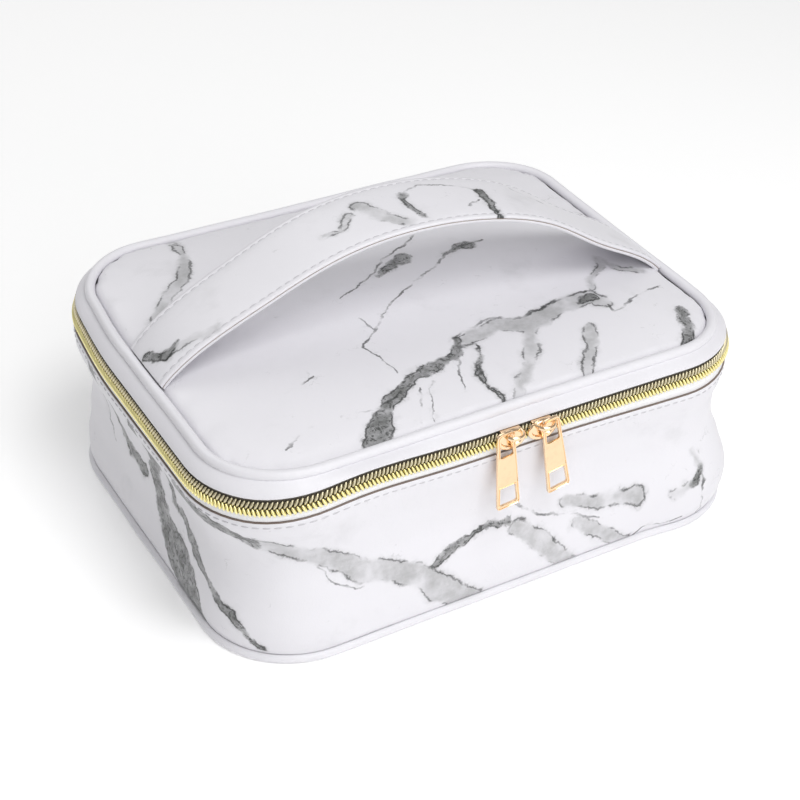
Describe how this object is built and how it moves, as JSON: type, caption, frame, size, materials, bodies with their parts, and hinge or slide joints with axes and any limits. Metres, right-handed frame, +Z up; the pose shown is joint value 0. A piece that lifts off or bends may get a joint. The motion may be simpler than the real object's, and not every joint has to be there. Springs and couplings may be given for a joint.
{
  "type": "makeup train case",
  "caption": "Soft rounded box case for cosmetics with a padded hinged lid, a zip round three sides with paired sliders, and an arched strap handle.",
  "frame": {"origin": "centre of the flat underside, on the surface that the case stands on", "axes": "+X along the length, the front with the zip sliders faces -Y, +Z up"},
  "size_m": [0.2624, 0.213, 0.1483],
  "materials": {
    "marble_leather": "fine-grained faux leather, satin, printed with grey marble veins",
    "white_leather": "fine-grained faux leather, satin, plain white",
    "lining_cloth": "plain woven polyester",
    "padding": "open-cell foam sheet",
    "stiffener": "pressed board",
    "zip_tape": "woven tape, white",
    "dark_tape": "woven tape, dark brown",
    "zip_coil": "metallised gold coil",
    "rose_gold": "polished champagne gold plating on cast zinc",
    "pocket_mesh": "knitted mesh",
    "elastic": "ribbed elastic webbing"
  },
  "bodies": {
    "case_body": {"bottom_panel": "marble_leather", "base_board": "stiffener", "bottom_piping": "white_leather", "front_side_wall": "marble_leather", "back_panel": "marble_leather", "body_foam": "padding", "body_lining": "lining_cloth", "lower_zip_tape": "zip_tape", "lower_zip_coil": "zip_coil", "back_hinge_strip": "marble_leather", "brush_elastic": "elastic"},
    "lid": {"upper_zip_coil": "zip_coil", "upper_zip_tape": "dark_tape", "lid_band": "white_leather", "lid_back_band": "marble_leather", "lid_piping": "white_leather", "lid_panel": "marble_leather", "lid_foam": "padding", "lid_lining": "lining_cloth", "lid_pocket_mesh": "pocket_mesh", "lid_pocket_binding": "elastic", "handle_strap_underside": "marble_leather", "handle_strap_top": "marble_leather"},
    "left_slider": {"slider_left": "rose_gold"},
    "right_slider": {"slider_right": "rose_gold"},
    "left_tab": {"pull_tab_left": "rose_gold"},
    "right_tab": {"pull_tab_right": "rose_gold"}
  },
  "joints": [
    {"name": "lid_hinge", "type": "hinge", "parent": "case_body", "child": "lid", "pos_m": [0, 0.1026, 0.0874], "axis": [-1, 0, 0], "range_deg": [0, 110]},
    {"name": "left_slider_run", "type": "slide", "parent": "case_body", "child": "left_slider", "axis": [-1, 0, 0], "range_m": [0, 0.075]},
    {"name": "right_slider_run", "type": "slide", "parent": "case_body", "child": "right_slider", "axis": [1, 0, 0], "range_m": [0, 0.069]},
    {"name": "left_tab_swing", "type": "hinge", "parent": "left_slider", "child": "left_tab", "pos_m": [-0.00965, -0.1053, 0.091], "axis": [0, 1, 0], "range_deg": [-6, 95]},
    {"name": "right_tab_swing", "type": "hinge", "parent": "right_slider", "child": "right_tab", "pos_m": [0.01365, -0.1053, 0.091], "axis": [0, -1, 0], "range_deg": [-12, 95]}
  ]
}
